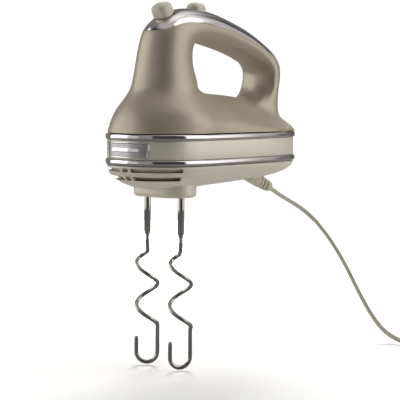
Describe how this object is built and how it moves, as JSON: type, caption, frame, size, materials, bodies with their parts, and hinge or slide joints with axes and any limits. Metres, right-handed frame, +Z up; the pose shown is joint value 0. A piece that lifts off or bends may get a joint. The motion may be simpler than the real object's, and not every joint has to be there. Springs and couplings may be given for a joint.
{
  "type": "hand mixer with dough hooks",
  "caption": "Retro hand mixer with a loop handle under a chrome cap, chrome trim strips round a cream band, nose vent slots, two dough hooks and a mains cord",
  "frame": {"origin": "Middle of the hand grip, inside the handle's upper bar, on the mixer's mid plane", "axes": "+Z up along the hook spindles, -Y towards the vented nose, +X to the mixer's left hand side"},
  "size_m": [0.2685, 0.2997, 0.3314],
  "materials": {
    "taupe_paint": "glossy warm grey-beige lacquer",
    "cream_plastic": "satin cream",
    "chrome": "mirror polished",
    "steel": "bright drawn",
    "copper": "enamelled copper windings and bars",
    "carbon": "matte black",
    "brass": "machined",
    "grey_nylon": "moulded",
    "white_nylon": "moulded natural nylon",
    "board_green": "circuit board lacquer"
  },
  "bodies": {
    "mixer_body": {"coil_tie": "carbon", "control_board": "board_green", "cord_clamp": "grey_nylon", "cord_coil": "cream_plastic", "cord_gland": "cream_plastic", "cord_tail": "cream_plastic", "eject_spring": "steel", "ejector_guide": "grey_nylon", "field_winding_front": "copper", "field_winding_rear": "copper", "front_badge": "steel", "front_bearing": "brass", "gearbox_cover": "grey_nylon", "gearbox_frame": "grey_nylon", "handle_cap": "chrome", "housing_screw_left": "steel", "housing_screw_right": "steel", "left_brush_holder": "brass", "left_carbon_brush": "carbon", "left_spindle_bush": "brass", "lower_housing": "cream_plastic", "lower_trim_strip": "chrome", "middle_band": "cream_plastic", "motor_stator": "steel", "plug_body": "cream_plastic", "plug_pin_left": "steel", "plug_pin_right": "steel", "power_cord": "cream_plastic", "rear_bearing": "brass", "rear_motor_bracket": "grey_nylon", "right_brush_holder": "brass", "right_carbon_brush": "carbon", "right_spindle_bush": "brass", "socket_plate": "cream_plastic", "speed_switch": "carbon", "upper_housing": "taupe_paint", "upper_trim_strip": "chrome"},
    "armature": {"armature_shaft": "steel", "armature_core": "copper", "commutator": "copper", "cooling_fan": "grey_nylon", "worm": "steel"},
    "left_drive": {"left_spindle": "steel", "left_worm_wheel": "white_nylon"},
    "right_drive": {"right_spindle": "steel", "right_worm_wheel": "white_nylon"},
    "left_hook": {"left_dough_hook": "steel", "left_hook_sleeve": "steel"},
    "right_hook": {"right_dough_hook": "steel", "right_hook_sleeve": "steel"},
    "eject_button_body": {"eject_button": "cream_plastic"},
    "ejector": {"ejector_rod": "steel", "ejector_yoke": "steel"},
    "speed_control": {"speed_knob": "cream_plastic"}
  },
  "joints": [
    {"name": "armature_spin", "type": "hinge", "parent": "mixer_body", "child": "armature", "pos_m": [0, -0.071, -0.1], "axis": [0, 1, 0], "continuous": true},
    {"name": "left_spindle_spin", "type": "hinge", "parent": "mixer_body", "child": "left_drive", "pos_m": [0.02, -0.071, -0.1], "axis": [0, 0, 1], "continuous": true},
    {"name": "right_spindle_spin", "type": "hinge", "parent": "mixer_body", "child": "right_drive", "pos_m": [-0.02, -0.071, -0.1], "axis": [0, 0, 1], "continuous": true},
    {"name": "left_hook_pull", "type": "slide", "parent": "left_drive", "child": "left_hook", "axis": [0, 0, -1], "range_m": [0, 0.032]},
    {"name": "right_hook_pull", "type": "slide", "parent": "right_drive", "child": "right_hook", "axis": [0, 0, -1], "range_m": [0, 0.032]},
    {"name": "eject_button_press", "type": "slide", "parent": "mixer_body", "child": "eject_button_body", "axis": [0, 0.4384, -0.8988], "range_m": [0, 0.005], "stiffness_N_per_m": 400, "springref_m": -0.005},
    {"name": "ejector_slide", "type": "slide", "parent": "mixer_body", "child": "ejector", "axis": [0, 0, -1], "range_m": [0, 0.0045], "deforming": ["eject_spring"]},
    {"name": "speed_knob_slide", "type": "slide", "parent": "mixer_body", "child": "speed_control", "axis": [0, -0.9983, 0.059], "range_m": [0, 0.014]}
  ],
  "couplings": [
    {"joint": "left_spindle_spin", "follows": "armature_spin", "ratio": 0.041667},
    {"joint": "right_spindle_spin", "follows": "armature_spin", "ratio": -0.041667},
    {"joint": "ejector_slide", "follows": "eject_button_press", "ratio": 0.9}
  ]
}
